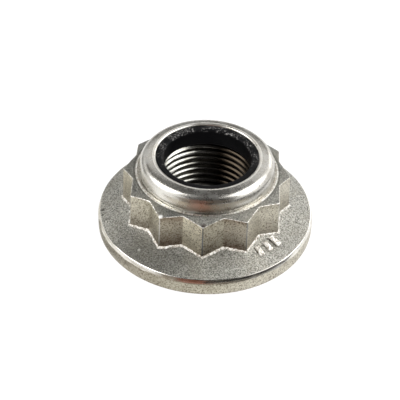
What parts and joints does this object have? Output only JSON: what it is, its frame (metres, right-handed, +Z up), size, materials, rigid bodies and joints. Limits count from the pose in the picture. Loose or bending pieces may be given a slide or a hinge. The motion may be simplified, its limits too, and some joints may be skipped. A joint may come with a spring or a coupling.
{
  "type": "flanged axle nut",
  "caption": "Flanged bi-hexagon axle nut with a fine-threaded bore and a black locking ring held under its rolled collar.",
  "frame": {"origin": "centre of the bore in the plane of the bearing face under the flange", "axes": "+Z runs up the bore from the bearing face to the collar, and one corner of the drive points along -Y"},
  "size_m": [0.045, 0.045, 0.0175],
  "materials": {
    "nut_steel": "plated and blasted, warm grey, with a turned collar",
    "locking_polymer": "matt black"
  },
  "bodies": {
    "root": {"nut_body": "nut_steel", "locking_ring": "locking_polymer"}
  },
  "joints": []
}
